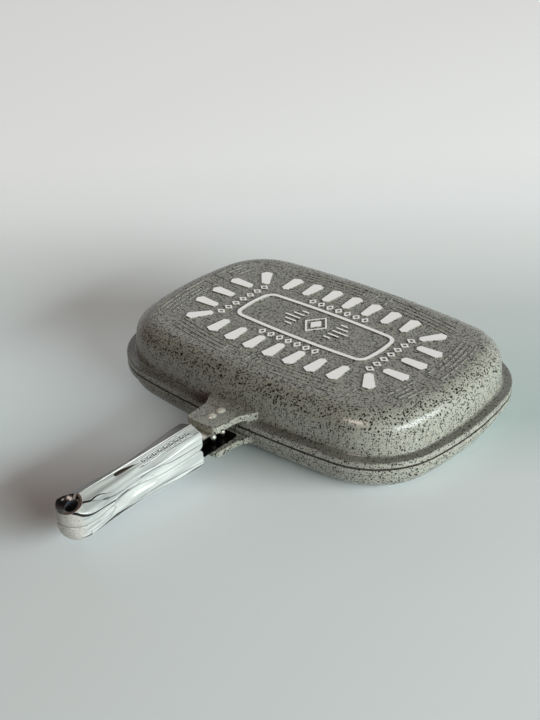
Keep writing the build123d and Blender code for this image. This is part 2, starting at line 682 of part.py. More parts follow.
pieces = {
    "lower_pan": in_half(lower_pan.part, "lower"),
    "upper_pan": in_half(upper_pan.part, "upper"),
    "rim_gasket": rim_gasket.part,
    "upper_grip": in_half(grip("upper", MAGNET_THICKNESS), "upper"),
    "lower_grip": in_half(grip("lower", KEEPER_THICKNESS), "lower"),
    "upper_magnet": in_half(catch(MAGNET_THICKNESS), "upper"),
    "lower_keeper": in_half(catch(KEEPER_THICKNESS), "lower"),
    "hinge_pin_left": hinge_pin(-1),
    "hinge_pin_right": hinge_pin(1),
    "hinge_clip_left": hinge_clip(-1),
    "hinge_clip_right": hinge_clip(1),
}
for half in ("lower", "upper"):
    pieces[half + "_tang"] = in_half(tang(), half)
    pieces[half + "_rivet_front"] = in_half(rivet(RIVET_FRONT_Y), half)
    pieces[half + "_rivet_rear"] = in_half(rivet(RIVET_REAR_Y), half)
    pieces[half + "_grip_screw_near"] = in_half(screw(SCREW_NEAR_Y), half)
    pieces[half + "_grip_screw_far"] = in_half(screw(SCREW_FAR_Y), half)

os.makedirs("parts", exist_ok=True)
for name, piece in pieces.items():
    piece.label = name
    export_step(piece, f"parts/{name}.step")
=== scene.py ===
# %% [markdown]
# # A double sided flip pan
#
# The real object is a grill pan of two cast aluminium halves, sprayed inside and outside with a
# grey granite coat, with a marbled plastic handle that is split along the same plane. The exact
# shapes come from a CAD model, which is loaded here as a fixed frame. The lesson adds what CAD
# does not have: light, a camera, finishes that look made, the fine relief on the handle and the
# long ends of its rivets.

import bpy
import numpy as np
from mathutils import Matrix, Vector


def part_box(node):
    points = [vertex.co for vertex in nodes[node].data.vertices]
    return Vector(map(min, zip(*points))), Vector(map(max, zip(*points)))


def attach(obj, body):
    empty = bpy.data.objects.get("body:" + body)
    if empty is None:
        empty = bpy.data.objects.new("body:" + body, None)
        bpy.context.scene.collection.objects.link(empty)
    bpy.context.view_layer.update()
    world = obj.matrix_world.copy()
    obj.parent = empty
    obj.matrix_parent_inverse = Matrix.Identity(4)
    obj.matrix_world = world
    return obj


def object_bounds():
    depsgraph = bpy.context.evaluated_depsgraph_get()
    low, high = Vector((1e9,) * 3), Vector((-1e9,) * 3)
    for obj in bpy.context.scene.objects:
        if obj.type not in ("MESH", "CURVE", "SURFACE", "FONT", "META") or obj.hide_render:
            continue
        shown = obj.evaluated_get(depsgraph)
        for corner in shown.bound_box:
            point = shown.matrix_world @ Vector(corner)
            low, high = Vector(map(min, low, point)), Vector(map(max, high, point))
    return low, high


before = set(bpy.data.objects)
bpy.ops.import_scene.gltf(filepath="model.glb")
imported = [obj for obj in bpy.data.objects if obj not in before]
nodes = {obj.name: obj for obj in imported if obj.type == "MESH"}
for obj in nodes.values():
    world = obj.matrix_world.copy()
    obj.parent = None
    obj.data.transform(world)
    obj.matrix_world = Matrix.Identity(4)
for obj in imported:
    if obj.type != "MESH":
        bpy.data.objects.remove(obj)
cad_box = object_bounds()
MM = 0.001
print("nodes:", len(nodes), "box in mm:", [round(v / MM, 1) for v in (cad_box[1] - cad_box[0])])

# %% [markdown]
# ## Camera
#
# A camera is a position, a direction and an angle of view. Here it stands in front of the pan to
# the right, about 1.2 m away and 30 degrees above the table, and it is rolled a little, as a
# camera held by hand is. The three directions of its frame are worked out from those angles and
# put into a matrix as its columns: right, up, and back towards the viewer. Angles are in radians,
# and distances are in metres.

# %% Camera
TURN, RISE, ROLL = 0.72564, 0.52263, -0.03029
DISTANCE = 1.1572
LOOK_AT = Vector((0.00983, -0.07389, 0.0748))
FOCAL_MM, SENSOR_MM = 65.3, 36
FARTHEST = 20

back = Vector((np.sin(TURN) * np.cos(RISE), -np.cos(TURN) * np.cos(RISE), np.sin(RISE)))
level_right = (-back).cross(Vector((0, 0, 1))).normalized()
level_up = level_right.cross(-back)
right = np.cos(ROLL) * level_right + np.sin(ROLL) * level_up
up = np.cos(ROLL) * level_up - np.sin(ROLL) * level_right


def add_object(name, data):
    """A new object for a mesh, a lamp or a camera, put into the scene."""
    made = bpy.data.objects.new(name, data)
    bpy.context.scene.collection.objects.link(made)
    return made


camera = add_object("camera", bpy.data.cameras.new("camera"))
camera.data.lens, camera.data.sensor_width = FOCAL_MM, SENSOR_MM
camera.data.clip_end = FARTHEST
camera.matrix_world = (Matrix.Translation(LOOK_AT + DISTANCE * back)
                       @ Matrix((right, up, back)).transposed().to_4x4())
bpy.context.scene.camera = camera
bpy.context.scene.view_settings.view_transform = "Standard"
print("camera at", [round(v, 3) for v in camera.location])

# %% [markdown]
# ## Helpers for materials
#
# A colour is easiest to read as the hex value of a paint chip, but the renderer adds light up, so
# it needs linear values. A material is a chain of nodes, so one function adds a node, sets
# what it is told to set, and links what it is given. A second one lays a colour over another
# where a mask is 1, which is how a coat, a print or wear gets onto a base.

# %% Helpers for colours and nodes


def paint(code):
    """An sRGB hex colour as linear RGBA: c / 12.92 when dark, else ((c + 0.055) / 1.055) to 2.4."""
    c = np.array([int(code[i:i + 2], 16) for i in (1, 3, 5)]) / 255
    linear = np.where(c <= 0.04045, c / 12.92, ((c + 0.055) / 1.055) ** 2.4)
    return (*map(float, linear), 1.0)


def add_node(material, kind, settings=None, **inputs):
    """Add a node to a material. Settings are its own properties. Each input is named by its
    socket, with _ for a space, or by _ and its number, and is a value or another node's socket."""
    node = material.node_tree.nodes.new("ShaderNode" + kind)
    for name, value in (settings or {}).items():
        setattr(node, name, value)
    for name, value in inputs.items():
        socket = node.inputs[int(name[1:]) if name[0] == "_" else name.replace("_", " ")]
        if isinstance(value, bpy.types.NodeSocket):
            material.node_tree.links.new(value, socket)
        else:
            socket.default_value = value
    return node


def new_material(name, **surface):
    """A material with a Principled shader, and the fixed values of its surface."""
    material = bpy.data.materials.new(name)
    material.use_nodes = True
    shader = material.node_tree.nodes["Principled BSDF"]
    for socket, value in surface.items():
        shader.inputs[socket.replace("_", " ")].default_value = value
    return material, shader


def layer(material, below, over, mask):
    """Lay a colour over another where the mask is 1. A colour is a hex code or a socket."""
    below = paint(below) if isinstance(below, str) else below
    over = paint(over) if isinstance(over, str) else over
    return add_node(material, "Mix", {"data_type": "RGBA"}, _0=mask, _6=below, _7=over).outputs[2]


def finish_shader(material, shader, **sockets):
    """Link sockets to the inputs of the shader."""
    for name, socket in sockets.items():
        material.node_tree.links.new(socket, shader.inputs[name.replace("_", " ")])


# %% [markdown]
# ## The granite coat
#
# The halves are pressure die cast aluminium, sprayed with a non-stick coat. The base coat is a
# warm grey, and the spatter on top of it is what sells it as granite: very many fine black
# specks, some larger ones, and a few pale flecks. The specks come from cells. A Voronoi texture
# gives each point of space its distance to a cell's middle and a random colour for the cell, so
# a speck is where the distance is under a radius that depends on that random colour. The smallest
# cells are 1.3 mm, about as fine as still shows from where the camera stands. The specks come out
# up to a fifth larger on the crowns and the flat bases than on the walls.

# %% Granite coat: base and spatter
coat, coat_shader = new_material("granite_nonstick_coat", IOR=1.45)
place = add_node(coat, "TexCoord").outputs["Object"]
height = add_node(coat, "SeparateXYZ", _0=place).outputs[2]
MIDDLE = (cad_box[0].z + cad_box[1].z) / 2
TOP = cad_box[1].z - MIDDLE
SEAM = (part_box("upper_grip")[0].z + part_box("lower_grip")[1].z) / 2
from_middle = add_node(coat, "Math", {"operation": "SUBTRACT"}, _0=height, _1=MIDDLE).outputs[0]
outwards = add_node(coat, "Math", {"operation": "ABSOLUTE"}, _0=from_middle).outputs[0]
CROWN_START, CROWN_END = TOP - 26 * MM, TOP - 8 * MM
growth = add_node(coat, "MapRange", Value=outwards, From_Min=CROWN_START,
                    From_Max=CROWN_END, To_Min=0.98, To_Max=1.2).outputs[0]


def specks(cell_mm, share, size, seed):
    """A mask of random specks: 1 inside a speck. A share of the cells has one, with a radius from
    0.4 to 1 times size, as a part of the cell, and up to a fifth more on the crowns."""
    shifted = add_node(coat, "Mapping", _0=place, Location=(seed, seed / 2, -seed))
    cells = add_node(coat, "TexVoronoi", Vector=shifted.outputs[0], Scale=1000 / cell_mm)
    chance = add_node(coat, "SeparateColor", _0=cells.outputs["Color"]).outputs[0]
    radius = add_node(coat, "MapRange", Value=chance, From_Min=1 - share, From_Max=1,
                      To_Min=0.4 * size, To_Max=size).outputs[0]
    reach = add_node(coat, "Math", {"operation": "MULTIPLY"}, _0=radius, _1=growth).outputs[0]
    inside = add_node(coat, "Math", {"operation": "SUBTRACT"}, _0=reach,
                      _1=cells.outputs["Distance"]).outputs[0]
    dot = add_node(coat, "MapRange", Value=inside, From_Min=0.0, From_Max=0.06).outputs[0]
    chosen = add_node(coat, "Math", {"operation": "GREATER_THAN"}, _0=chance,
                      _1=1 - share).outputs[0]
    return add_node(coat, "Math", {"operation": "MULTIPLY"}, _0=dot, _1=chosen).outputs[0]


cloud = add_node(coat, "TexNoise", Vector=place, Scale=1000 / 30, Detail=3).outputs[0]
grain = add_node(coat, "TexNoise", Vector=place, Scale=1000 / 0.9, Detail=2).outputs[0]
grain_mask = add_node(coat, "MapRange", Value=grain, From_Min=0.50, From_Max=0.85).outputs[0]
speckled = layer(coat, "#8C8C82", "#98988E", cloud)
speckled = layer(coat, speckled, "#BDBDB3", grain_mask)
speckled = layer(coat, speckled, "#2B2925", specks(1.3, 0.42, 0.58, 0.3))
speckled = layer(coat, speckled, "#0D0C0B", specks(2.0, 0.52, 0.50, 1.7))
speckled = layer(coat, speckled, "#0B0A0A", specks(6.5, 0.45, 0.22, 4.1))

# %% [markdown]
# The pads, the frame and the small motifs on the bases stand proud, and their tops are ground
# back to bare, pale metal. Nothing lies further out, so the mask is the distance of a point from
# the middle height of the pan. The thin border lines are half as high and keep their coat, and
# their tops are painted a little paler, a painted highlight for the light that they catch. The
# bare tops differ in three things: they are metallic, they are rougher, and their colour has the
# straight marks of the grinding belt, drawn about 1 mm wide, which is coarser than real ones, so
# that they show.
#
# The ledge between wall and rim is painted darker, as painted shade in its groove. The lips of
# the two rims, either side of the seam, are painted dark brown, as painted shade of the gap
# between them. That is weaker on the flat faces of the rims, where they shut on the gasket. The
# mask stops in front of the hinge knuckles, which cross that height too.

# %% Granite coat: ground tops
BARE_DEPTH = 0.12 * MM
LINE_DEPTH = 0.5 * MM
LINE_SLACK = 0.06 * MM
BELT_MM = 12
bare = add_node(coat, "Math", {"operation": "GREATER_THAN"}, _0=outwards,
                _1=TOP - BARE_DEPTH).outputs[0]
on_line = add_node(coat, "Math", {"operation": "COMPARE"}, _0=outwards, _1=TOP - LINE_DEPTH,
                   _2=LINE_SLACK).outputs[0]
# painted highlight: the tops of the thin border lines are made a little paler
painted_line_highlight = add_node(coat, "Math", {"operation": "MULTIPLY"}, _0=on_line, _1=0.2).outputs[0]
belt_place = add_node(coat, "Mapping", _0=place, Scale=(1, BELT_MM, 1)).outputs[0]
belt = add_node(coat, "TexNoise", Vector=belt_place, Scale=1000 / BELT_MM, Detail=4).outputs[0]
ground = layer(coat, "#EEEEEA", "#FCFCFA", belt)
coloured = layer(coat, layer(coat, speckled, "#C9C8BC", painted_line_highlight), ground, bare)

# %% Granite coat: painted shade on the ledge
LEDGE = 6.6 * MM
LEDGE_SHADE_MIDDLE = LEDGE + 0.3 * MM
LEDGE_SHADE_END, LEDGE_SHADE_FULL = 2.2 * MM, 0.5 * MM
above_seam = add_node(coat, "Math", {"operation": "SUBTRACT"}, _0=height, _1=SEAM).outputs[0]
from_seam = add_node(coat, "Math", {"operation": "ABSOLUTE"}, _0=above_seam).outputs[0]
above_ledge = add_node(coat, "Math", {"operation": "SUBTRACT"}, _0=from_seam,
                       _1=LEDGE_SHADE_MIDDLE).outputs[0]
from_ledge = add_node(coat, "Math", {"operation": "ABSOLUTE"}, _0=above_ledge).outputs[0]
# painted shade: the groove of the ledge is darkened
painted_ledge_shade = add_node(coat, "MapRange", {"interpolation_type": "SMOOTHSTEP"}, Value=from_ledge,
                  From_Min=LEDGE_SHADE_END, From_Max=LEDGE_SHADE_FULL, To_Max=0.5).outputs[0]
coloured = layer(coat, coloured, "#2B2A25", painted_ledge_shade)

# %% Granite coat: painted shade at the seam
SEAM_HALF = 1.0 * MM
REAR_RIM = 123.5 * MM
LEAST_FLAT = 0.8
SEAM_SHADE_ON_FLAT = 0.6
# painted shade: a dark brown band on the lips either side of the seam, weaker on the flat rim faces
in_seam = add_node(coat, "Math", {"operation": "COMPARE"}, _0=height, _1=SEAM,
                   _2=SEAM_HALF).outputs[0]
rearwards = add_node(coat, "SeparateXYZ", _0=place).outputs[1]
from_hinge = add_node(coat, "Math", {"operation": "LESS_THAN"}, _0=rearwards,
                      _1=REAR_RIM).outputs[0]
normal = add_node(coat, "TexCoord").outputs["Normal"]
facing = add_node(coat, "SeparateXYZ", _0=normal).outputs[2]
upright = add_node(coat, "Math", {"operation": "COMPARE"}, _0=facing, _1=0.0,
                   _2=LEAST_FLAT).outputs[0]
on_lip = add_node(coat, "Math", {"operation": "MULTIPLY"}, _0=in_seam, _1=from_hinge).outputs[0]
seam_shade_share = add_node(coat, "MapRange", Value=upright, To_Min=SEAM_SHADE_ON_FLAT).outputs[0]
painted_seam_shade = add_node(coat, "Math", {"operation": "MULTIPLY"}, _0=on_lip, _1=seam_shade_share).outputs[0]
coloured = layer(coat, coloured, "#21110D", painted_seam_shade)

# %% Granite coat: sheen and spray texture
sheen = add_node(coat, "MapRange", Value=grain, From_Min=0.3, From_Max=0.7,
                 To_Min=0.22, To_Max=0.31).outputs[0]
roughness = add_node(coat, "Math", {"operation": "MULTIPLY_ADD"}, _0=bare, _1=0.16,
                     _2=sheen).outputs[0]
spray = add_node(coat, "TexNoise", Vector=place, Scale=1000 / 1.8, Detail=4).outputs[0]
bump = add_node(coat, "Bump", Height=spray, Strength=0.2, Distance=0.08 * MM).outputs[0]
finish_shader(coat, coat_shader, Base_Color=coloured, Metallic=bare, Roughness=roughness,
              Normal=bump)
print("granite coat:", len(coat.node_tree.nodes), "nodes")

# %% [markdown]
# ## The marbled handle
#
# The grips are moulded phenolic, a hard white plastic, and carry a printed film of veins under a
# clear gloss. The veins run along the handle, so it helps to unroll it: one coordinate is how far
# along, from the tail to the near end, and the other is the angle round the middle of the closed
# handle, 0 degrees on the right, 90 on the ridge and -90 underneath. Both are worked out from the
# Object coordinates, so the print goes round every edge with the surface.

# %% Marbled grips: unrolled coordinates
marble, marble_shader = new_material("marbled_phenolic", IOR=1.45, Coat_Weight=0.15,
                                     Coat_Roughness=0.06)
grip_low, grip_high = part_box("upper_grip")
TAIL, NEAR_END = grip_low.y, grip_high.y
marble_place = add_node(marble, "TexCoord").outputs["Object"]
axis_place = add_node(marble, "VectorMath", {"operation": "SUBTRACT"}, _0=marble_place,
                      _1=(0, 0, SEAM)).outputs[0]
parts = add_node(marble, "SeparateXYZ", _0=axis_place)
side, rise = parts.outputs[0], parts.outputs[2]
along = add_node(marble, "MapRange", Value=parts.outputs[1], From_Min=TAIL,
                 From_Max=NEAR_END).outputs[0]
angle = add_node(marble, "Math", {"operation": "ARCTAN2"}, _0=rise, _1=side).outputs[0]
section = add_node(marble, "CombineXYZ", _0=side, _1=0.0, _2=rise).outputs[0]
radius = add_node(marble, "VectorMath", {"operation": "LENGTH"}, _0=section).outputs[1]
wobble_place = add_node(marble, "Mapping", _0=axis_place, Scale=(1, 0.35, 1)).outputs[0]
wobble = add_node(marble, "TexNoise", Vector=wobble_place, Scale=1000 / 5, Detail=3).outputs[0]
print("handle from", round(TAIL / MM, 1), "to", round(NEAR_END / MM, 1), "mm")

# %% [markdown]
# A vein is a drawn line. Two Float Curves draw it: one gives the angle at each place along the
# handle, the other gives the width, which goes to 0 where the vein tapers out and stays above 0
# where it runs on to the near end. The distance of a point from the line is the radius times the
# difference in angle, with a little noise added so that the edge wanders as ink does.

# %% Marbled grips: one vein


def drawn(points, lowest, highest):
    """A Float Curve over the length of the handle. Points are (mm along Y, value), and the values
    from lowest to highest fill the height of the curve."""
    node = add_node(marble, "FloatCurve", _1=along)
    curve = node.mapping.curves[0]
    spots = [((y * MM - TAIL) / (NEAR_END - TAIL), (value - lowest) / (highest - lowest))
             for y, value in points]
    curve.points[0].location, curve.points[1].location = spots[0], spots[-1]
    for spot in spots[1:-1]:
        curve.points.new(*spot)
    node.mapping.update()
    return add_node(marble, "MapRange", Value=node.outputs[0], To_Min=lowest,
                    To_Max=highest).outputs[0]


def vein(path, widths, softness=0.25):
    """The mask of one vein: half its width minus the distance from its line, over its softness.
    The path is in mm and degrees, the widths and the softness are in mm."""
    line = drawn([(y, np.radians(degrees)) for y, degrees in path], -np.pi, np.pi)
    half = drawn([(y, width / 2 * MM) for y, width in widths], -2 * MM, 4 * MM)
    turn = add_node(marble, "Math", {"operation": "SUBTRACT"}, _0=angle, _1=line).outputs[0]
    away = add_node(marble, "Math", {"operation": "ABSOLUTE"}, _0=turn).outputs[0]
    distance = add_node(marble, "Math", {"operation": "MULTIPLY"}, _0=away, _1=radius).outputs[0]
    edge = add_node(marble, "MapRange", Value=wobble, To_Min=-0.5 * MM, To_Max=0.5 * MM).outputs[0]
    ragged = add_node(marble, "Math", {"operation": "ADD"}, _0=distance, _1=edge).outputs[0]
    depth = add_node(marble, "Math", {"operation": "SUBTRACT"}, _0=half, _1=ragged).outputs[0]
    return add_node(marble, "MapRange", Value=depth, From_Min=0.0,
                    From_Max=softness * MM).outputs[0]


# %% [markdown]
# Under the drawn veins lies the quieter part of the print: broad bands of pale grey, and fine
# threads. Both are noise that is stretched along the handle. The band is the noise itself, and a
# thread is the thin line on which the noise passes through its middle value.
#
# The narrow facet left of the ridge is painted darker, with fine streaks: this is painted shade,
# for the facet faces away from the window. Its mask is the product of three: left of the middle,
# not yet round the edge to the left side, and above the parting. The drawn veins lie over all of
# that.

# %% Marbled grips: bands and threads
band_place = add_node(marble, "Mapping", _0=axis_place, Scale=(1, 0.10, 1)).outputs[0]
bands = add_node(marble, "TexNoise", Vector=band_place, Scale=1000 / 9, Detail=3,
                 Distortion=0.4).outputs[0]
band_mask = add_node(marble, "MapRange", Value=bands, From_Min=0.36, From_Max=0.62).outputs[0]
film = layer(marble, "#959998", "#C1C4C2", band_mask)
thread_place = add_node(marble, "Mapping", _0=axis_place, Location=(0.4, 0.1, 0.2),
                        Scale=(1, 0.07, 1)).outputs[0]
threads = add_node(marble, "TexNoise", Vector=thread_place, Scale=1000 / 11, Detail=2,
                   Distortion=0.6).outputs[0]
thread_mask = add_node(marble, "Math", {"operation": "COMPARE"}, _0=threads, _1=0.5,
                       _2=0.012).outputs[0]
faint = add_node(marble, "Math", {"operation": "MULTIPLY"}, _0=thread_mask, _1=0.45).outputs[0]
film = layer(marble, film, "#6E7072", faint)

# %% Marbled grips: where the veins run
VEINS = [
    # the grey veins of the right side, then of the lower grip, the left side and underneath
    ("#55575A", 0.35, [(-300, 60), (-296, 58), (-291, 52), (-284, 43.5), (-279.6, 40),
                       (-268.7, 33.5), (-262, 33), (-250, 31), (-237, 37), (-227, 38),
                       (-215, 33.5), (-208, 28), (-192, 25), (-177, 24), (-167, 21)],
     [(-300, 0), (-292, 0.9), (-284, 1.0), (-279, 2.0), (-273, 1.2), (-240, 1.1), (-167, 1.0)]),
    ("#77797A", 0.35, [(-245, -43), (-238, -42), (-219, -36), (-197, -37), (-167, -43)],
     [(-246, 0), (-238, 0.9), (-167, 0.9)]),
    ("#8C8F8E", 1.2, [(-262, 74), (-250, 71), (-238, 70), (-228, 68)],
     [(-262, 0), (-254, 2.0), (-240, 2.2), (-228, 0)]),
    ("#66686A", 0.5, [(-306, 118), (-285, 112), (-262, 122), (-240, 128), (-214, 118),
                      (-190, 126), (-167, 132)],
     [(-306, 0), (-290, 1.6), (-250, 1.0), (-200, 1.4), (-167, 1.0)]),
    ("#4A4B4D", 0.4, [(-310, 165), (-290, 158), (-268, 166), (-246, 160), (-222, 152),
                      (-196, 158), (-167, 166)],
     [(-310, 0), (-300, 1.4), (-262, 1.0), (-236, 1.5), (-190, 0.9), (-167, 1.1)]),
    ("#5C5E60", 0.4, [(-308, -150), (-284, -140), (-260, -152), (-236, -146), (-208, -134),
                      (-167, -142)],
     [(-308, 0), (-296, 1.5), (-250, 1.0), (-210, 1.6), (-167, 0.8)]),
    ("#4E5052", 0.5, [(-304, -80), (-280, -96), (-252, -84), (-226, -72), (-198, -88),
                      (-167, -80)],
     [(-304, 0), (-290, 1.8), (-256, 0.9), (-224, 1.6), (-167, 0.9)]),
    # the dark edges of the print
    ("#0F0E0E", 0.2, [(-309, -43), (-302, -39), (-290, -36), (-281, -38), (-271, -42),
                      (-260, -48), (-249, -52), (-238, -54), (-228, -52), (-213, -52),
                      (-194, -48), (-167, -48)],
     [(-309, 0), (-303, 2.4), (-290, 3.2), (-245, 3.0), (-236, 2.0), (-220, 1.4), (-167, 1.2)]),
    ("#2A2C2E", 0.25, [(-238, 63), (-232, 62.3), (-218, 62.5), (-202, 60.6), (-178, 59),
                       (-167, 58)],
     [(-238, 0), (-231, 1.0), (-180, 1.1), (-167, 0.7)]),
    ("#29241D", 0.6, [(-261, 81), (-252, 81), (-246, 80), (-240, 78.4), (-235, 76), (-229, 74)],
     [(-260, 0), (-256, 3.8), (-250, 3.4), (-244, 2.6), (-236, 1.4), (-229, 0)]),
    ("#1B1917", 0.3, [(-252, 90), (-243, 91), (-234, 92)],
     [(-251, 0), (-246, 1.8), (-240, 1.8), (-235, 0)]),
    # the greyed stretch of the right facet, and the white line of the ridge, which is a painted
    # highlight
    ("#8A8D8B", 3.5, [(-304, 58), (-285, 64), (-262, 68), (-240, 70), (-225, 72)],
     [(-304, 0), (-294, 6), (-262, 7), (-240, 4), (-226, 0)]),
    # painted highlight: the white line along the ridge
    ("#F6F8F7", 0.3, [(-294, 90), (-167, 90)], [(-294, 0), (-288, 0.9), (-167, 0.9)]),
]
DISH_VEINS = [
    ("#131213", 0.2, [(-314, 62), (-310, 48), (-306, 36), (-298.6, 26), (-291.6, 23),
                      (-280.7, 20), (-269, 14.6), (-262, 9), (-255, 7), (-248, 7), (-236, 14)],
     [(-313, 0), (-310, 2.6), (-306, 2.6), (-300, 1.8), (-290, 1.4), (-262, 1.4), (-250, 0.8),
      (-236, 0)]),
    ("#131213", 0.2, [(-303, 66), (-298.4, 61), (-293, 56), (-286.6, 58), (-282.6, 57.6),
                      (-273.6, 48), (-269, 45)],
     [(-303, 0), (-298, 2.4), (-290, 1.3), (-277, 1.1), (-270, 0)]),
]

# %% Marbled grips: painted shade on the left facet, and the veins laid over the film
RIDGE_HALF = 0.6 * MM
FACET_FROM, FACET_TO = np.radians(132), np.radians(118)
left_of_ridge = add_node(marble, "MapRange", {"interpolation_type": "SMOOTHSTEP"}, Value=side,
                         From_Min=RIDGE_HALF, From_Max=-RIDGE_HALF, To_Max=0.92).outputs[0]
on_facet = add_node(marble, "MapRange", {"interpolation_type": "SMOOTHSTEP"}, Value=angle,
                    From_Min=FACET_FROM, From_Max=FACET_TO).outputs[0]
on_top = add_node(marble, "Math", {"operation": "GREATER_THAN"}, _0=rise, _1=0.0).outputs[0]
left_facet = add_node(marble, "Math", {"operation": "MULTIPLY"}, _0=on_facet, _1=on_top).outputs[0]
painted_facet_shade_share = add_node(marble, "Math", {"operation": "MULTIPLY"}, _0=left_of_ridge,
                      _1=left_facet).outputs[0]
streak_place = add_node(marble, "Mapping", _0=axis_place, Scale=(1, 0.05, 1)).outputs[0]
streaks = add_node(marble, "TexNoise", Vector=streak_place, Scale=1000 / 2.5, Detail=3).outputs[0]
streak_mask = add_node(marble, "MapRange", Value=streaks, From_Min=0.35, From_Max=0.6).outputs[0]
# painted shade: the left facet gets a dark, streaked colour over the film
painted_facet_shade = layer(marble, "#1E1C1A", "#53504D", streak_mask)
film = layer(marble, film, painted_facet_shade, painted_facet_shade_share)


def with_veins(below, veins):
    """The colour below with each vein of a list laid over it in turn."""
    for colour, softness, path, widths in veins:
        below = layer(marble, below, colour, vein(path, widths, softness))
    return below


film = with_veins(film, VEINS)
print("veins:", len(VEINS), "nodes in the marble:", len(marble.node_tree.nodes))

# %% [markdown]
# The film fades out over the tail. There the plastic is beige with fine dark dust, and the thumb
# dish round the hanging hole is smeared black and brown. Part of that black is painted shade: the
# smear turns blacker towards the left wall of the dish, which lies in shadow. Two black veins run
# out of the dish, over the tail and the film. The walls of the hanging hole are painted a dark
# grey-blue, painted shade with the tint of the floor seen through the hole. The dish is the ball
# that was cut from the tail, so its mask is the distance from the middle of that ball, and the
# mask of the hole is the distance from its axis. Both masks reach a little past the cut, so that
# no rim of film is left on its walls.

# %% Marbled grips: tail
FILM_EDGE, BARE_TAIL = -0.3015, -0.3085
dust = add_node(marble, "TexNoise", Vector=axis_place, Scale=1000 / 1.2, Detail=2).outputs[0]
dust_mask = add_node(marble, "MapRange", Value=dust, From_Min=0.54, From_Max=0.66).outputs[0]
patches = add_node(marble, "TexNoise", Vector=axis_place, Scale=1000 / 14, Detail=3).outputs[0]
beige = layer(marble, "#A3A09A", "#CECBC4", patches)
dust_share = add_node(marble, "Math", {"operation": "MULTIPLY"}, _0=dust_mask,
                      _1=0.7).outputs[0]
dusty = layer(marble, beige, "#77716A", dust_share)
on_tail = add_node(marble, "MapRange", Value=parts.outputs[1], From_Min=FILM_EDGE,
                   From_Max=BARE_TAIL).outputs[0]
tail_part = add_node(marble, "Math", {"operation": "MULTIPLY"}, _0=on_tail, _1=0.85).outputs[0]
film_and_tail = with_veins(layer(marble, film, dusty, tail_part), DISH_VEINS)

# %% Marbled grips: dish, hole, their painted shade, and gloss
DISH_MIDDLE = (0, -309.5 * MM, 57 * MM)
DISH_BALL = 16 * MM
HOLE_MIDDLE_Y = -304 * MM
HOLE = 5.5 * MM
PAST_CUT = 0.15 * MM
from_ball = add_node(marble, "VectorMath", {"operation": "DISTANCE"}, _0=marble_place,
                     _1=DISH_MIDDLE).outputs[1]
in_dish = add_node(marble, "Math", {"operation": "LESS_THAN"}, _0=from_ball,
                   _1=DISH_BALL + PAST_CUT).outputs[0]
smear_place = add_node(marble, "Mapping", _0=axis_place, Rotation=(0, 0, 0.6),
                       Scale=(1, 0.4, 1)).outputs[0]
smear = add_node(marble, "TexNoise", Vector=smear_place, Scale=1000 / 7, Detail=4,
                 Distortion=0.5).outputs[0]
# painted shade: the smear in the dish is pushed towards black on its left side
painted_shade_bias = add_node(marble, "MapRange", Value=side, From_Min=-10 * MM, From_Max=9 * MM,
                   To_Min=0.20, To_Max=-0.30).outputs[0]
smear_and_shade_level = add_node(marble, "Math", {"operation": "ADD"}, _0=smear, _1=painted_shade_bias).outputs[0]
smear_and_shade_mask = add_node(marble, "MapRange", Value=smear_and_shade_level, From_Min=0.46,
                      From_Max=0.54).outputs[0]
brown = layer(marble, "#A39287", "#C0B4AB", patches)
dish_smear_and_shade = layer(marble, brown, "#0D0C0C", smear_and_shade_mask)
film_and_tail = layer(marble, film_and_tail, dish_smear_and_shade, in_dish)
from_above = add_node(marble, "VectorMath", {"operation": "MULTIPLY"}, _0=marble_place,
                      _1=(1, 1, 0)).outputs[0]
from_hole = add_node(marble, "VectorMath", {"operation": "DISTANCE"}, _0=from_above,
                     _1=(0, HOLE_MIDDLE_Y, 0)).outputs[1]
in_hole = add_node(marble, "Math", {"operation": "LESS_THAN"}, _0=from_hole,
                   _1=HOLE + PAST_CUT).outputs[0]
# painted shade: the walls of the hanging hole are painted dark grey-blue
handle_colour = layer(marble, film_and_tail, "#4B5259", in_hole)
gloss = add_node(marble, "MapRange", Value=patches, To_Min=0.16, To_Max=0.28).outputs[0]
orange_peel = add_node(marble, "TexNoise", Vector=axis_place, Scale=1000 / 4, Detail=2).outputs[0]
marble_bump = add_node(marble, "Bump", Height=orange_peel, Strength=0.12,
                       Distance=0.1 * MM).outputs[0]
finish_shader(marble, marble_shader, Base_Color=handle_colour, Roughness=gloss, Normal=marble_bump)

# %% [markdown]
# ## The raised band on the handle
#
# The right facet of the upper grip carries a raised key pattern in a thin frame, a few tenths of
# a millimetre high. It is modelled as one thin sheet: a grid over the band, whose height is a
# function of the distance from the pattern's lines. The sheet has to lie on the facet, which is
# slightly curved, so the height of the facet under each grid point is looked up on the CAD mesh:
# a point is inside a triangle where its three barycentric weights are positive, and those same
# weights blend the heights of the corners.

# %% Key band: pattern and facet
upper_grip = nodes["upper_grip"].data
corner_xyz = np.empty(3 * len(upper_grip.vertices))
upper_grip.vertices.foreach_get("co", corner_xyz)
upper_grip.calc_loop_triangles()
corners = np.empty(3 * len(upper_grip.loop_triangles), dtype=int)
upper_grip.loop_triangles.foreach_get("vertices", corners)
triangles = corner_xyz.reshape(-1, 3)[corners].reshape(-1, 3, 3)

BAND_START, BAND_END = -231.5 * MM, -175.0 * MM
BAND_INNER = (1.7 * MM, 2.1 * MM)
BAND_OUTER = (7.8 * MM, 10.0 * MM)
KEYS = 9
LINE = 0.5 * MM
RELIEF = 0.3 * MM
STEP = 0.16 * MM
KEY = np.array([(0.00, 0.21), (0.00, 0.79), (0.78, 0.79), (0.78, 0.40), (0.34, 0.40),
                (0.34, 0.60)])
ABOVE_SEAM = 12 * MM
SEARCH = 15 * MM
SMALLEST = 1e-14
ROUNDING = 1e-4
OUTSIDE = -1.0


